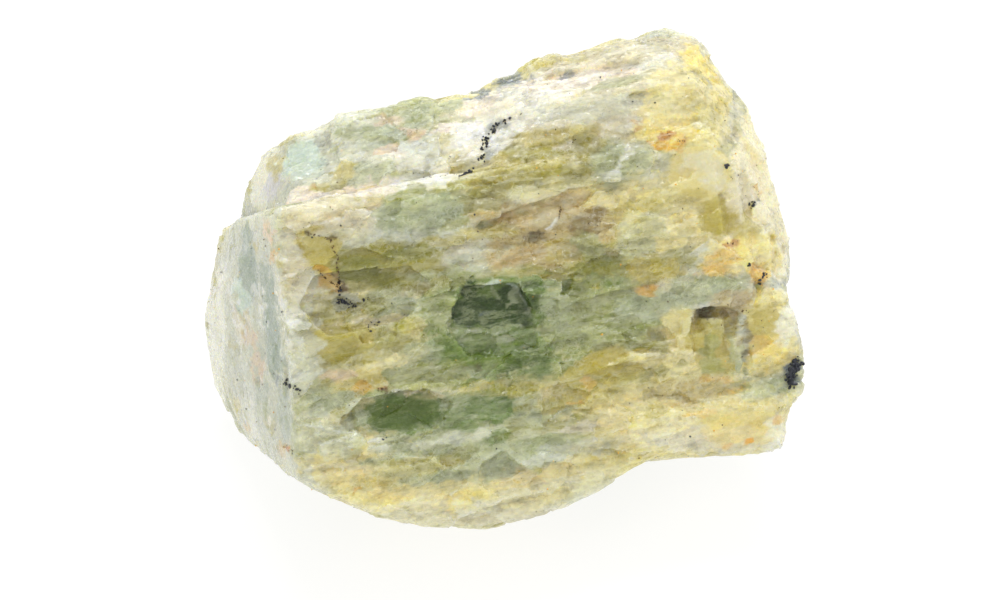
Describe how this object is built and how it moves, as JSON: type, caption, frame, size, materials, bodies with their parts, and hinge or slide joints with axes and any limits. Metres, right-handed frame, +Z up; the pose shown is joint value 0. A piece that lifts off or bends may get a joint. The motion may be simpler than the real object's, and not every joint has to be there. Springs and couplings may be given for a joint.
{
  "type": "beryl crystal",
  "caption": "Rough broken stub of a stout six-sided beryl crystal lying on one prism face, with cleavage steps, chipped edges and a small pit of columns.",
  "frame": {"origin": "centre of the bounding box in x and y, on the flat bottom face that the stone rests on", "axes": "+X to the right along the stone's longest side, +Y to the back, +Z up; the prism axis lies 15 degrees from +X, turned towards +Y"},
  "size_m": [0.0522, 0.043, 0.0351],
  "materials": {
    "beryl": "glassy on fresh breaks, waxy and matt on weathered faces"
  },
  "bodies": {
    "root": {"beryl_crystal": "beryl"}
  },
  "joints": []
}
